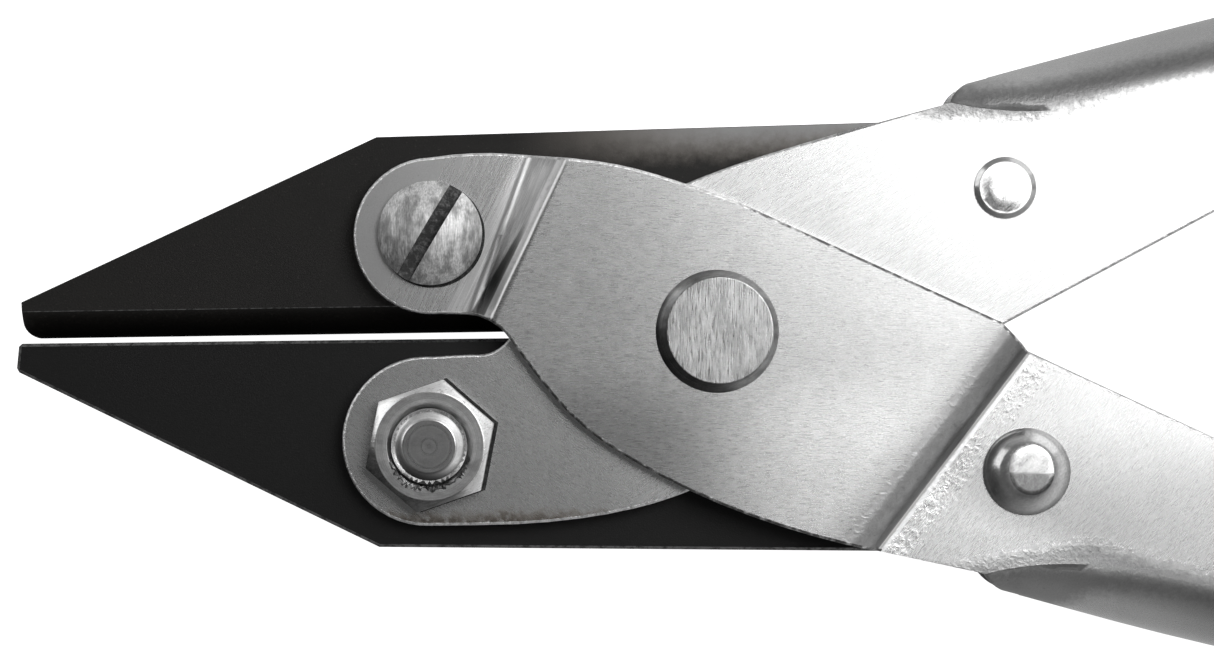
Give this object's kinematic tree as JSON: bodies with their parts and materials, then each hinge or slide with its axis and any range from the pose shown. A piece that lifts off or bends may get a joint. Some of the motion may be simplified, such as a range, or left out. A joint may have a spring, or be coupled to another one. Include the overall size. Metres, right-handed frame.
{
  "type": "parallel action flat nose pliers",
  "caption": "Parallel-action flat nose pliers: two pressed-steel channel handles carry two blackened jaws that stay parallel as they open.",
  "frame": {"origin": "middle of the footprint with the tool lying on its back, at the height of its lowest point", "axes": "+X from the jaw tips to the handle ends, +Y towards the upper jaw, +Z out of the front side, along every pivot"},
  "size_m": [0.1401, 0.0492, 0.0192],
  "materials": {
    "jaw_steel": "black oxide, fine satin",
    "handle_sheet": "brushed, hand-dressed edges",
    "rivet_steel": "ground and brushed",
    "screw_steel": "satin, lightly marked"
  },
  "bodies": {
    "pivot": {"main_rivet_front": "rivet_steel", "main_rivet_back": "rivet_steel"},
    "outer_handle": {"outer_handle": "handle_sheet", "upper_jaw_screw": "screw_steel", "upper_jaw_nut": "screw_steel", "outer_handle_slide_rivet": "rivet_steel"},
    "inner_handle": {"inner_handle": "handle_sheet", "lower_jaw_screw": "screw_steel", "lower_jaw_nut": "screw_steel", "inner_handle_slide_rivet": "rivet_steel"},
    "upper_jaw": {"upper_jaw": "jaw_steel"},
    "lower_jaw": {"lower_jaw": "jaw_steel"}
  },
  "joints": [
    {"name": "outer_handle_swing", "type": "hinge", "parent": "pivot", "child": "outer_handle", "pos_m": [-0.02333, 0, 0.0096], "axis": [0, 0, -1], "range_deg": [-0.4, 15.5]},
    {"name": "inner_handle_swing", "type": "hinge", "parent": "pivot", "child": "inner_handle", "pos_m": [-0.02333, 0, 0.0096], "axis": [0, 0, 1], "range_deg": [-0.4, 15.5]},
    {"name": "upper_jaw_turn", "type": "hinge", "parent": "outer_handle", "child": "upper_jaw", "pos_m": [-0.04226, 0.00672, 0.0096], "axis": [0, 0, 1], "range_deg": [-0.4, 15.5]},
    {"name": "lower_jaw_turn", "type": "hinge", "parent": "inner_handle", "child": "lower_jaw", "pos_m": [-0.04239, -0.00736, 0.0096], "axis": [0, 0, -1], "range_deg": [-0.4, 15.5]}
  ],
  "couplings": [
    {"joint": "inner_handle_swing", "follows": "outer_handle_swing", "ratio": 1},
    {"joint": "upper_jaw_turn", "follows": "outer_handle_swing", "ratio": 1},
    {"joint": "lower_jaw_turn", "follows": "outer_handle_swing", "ratio": 1}
  ]
}
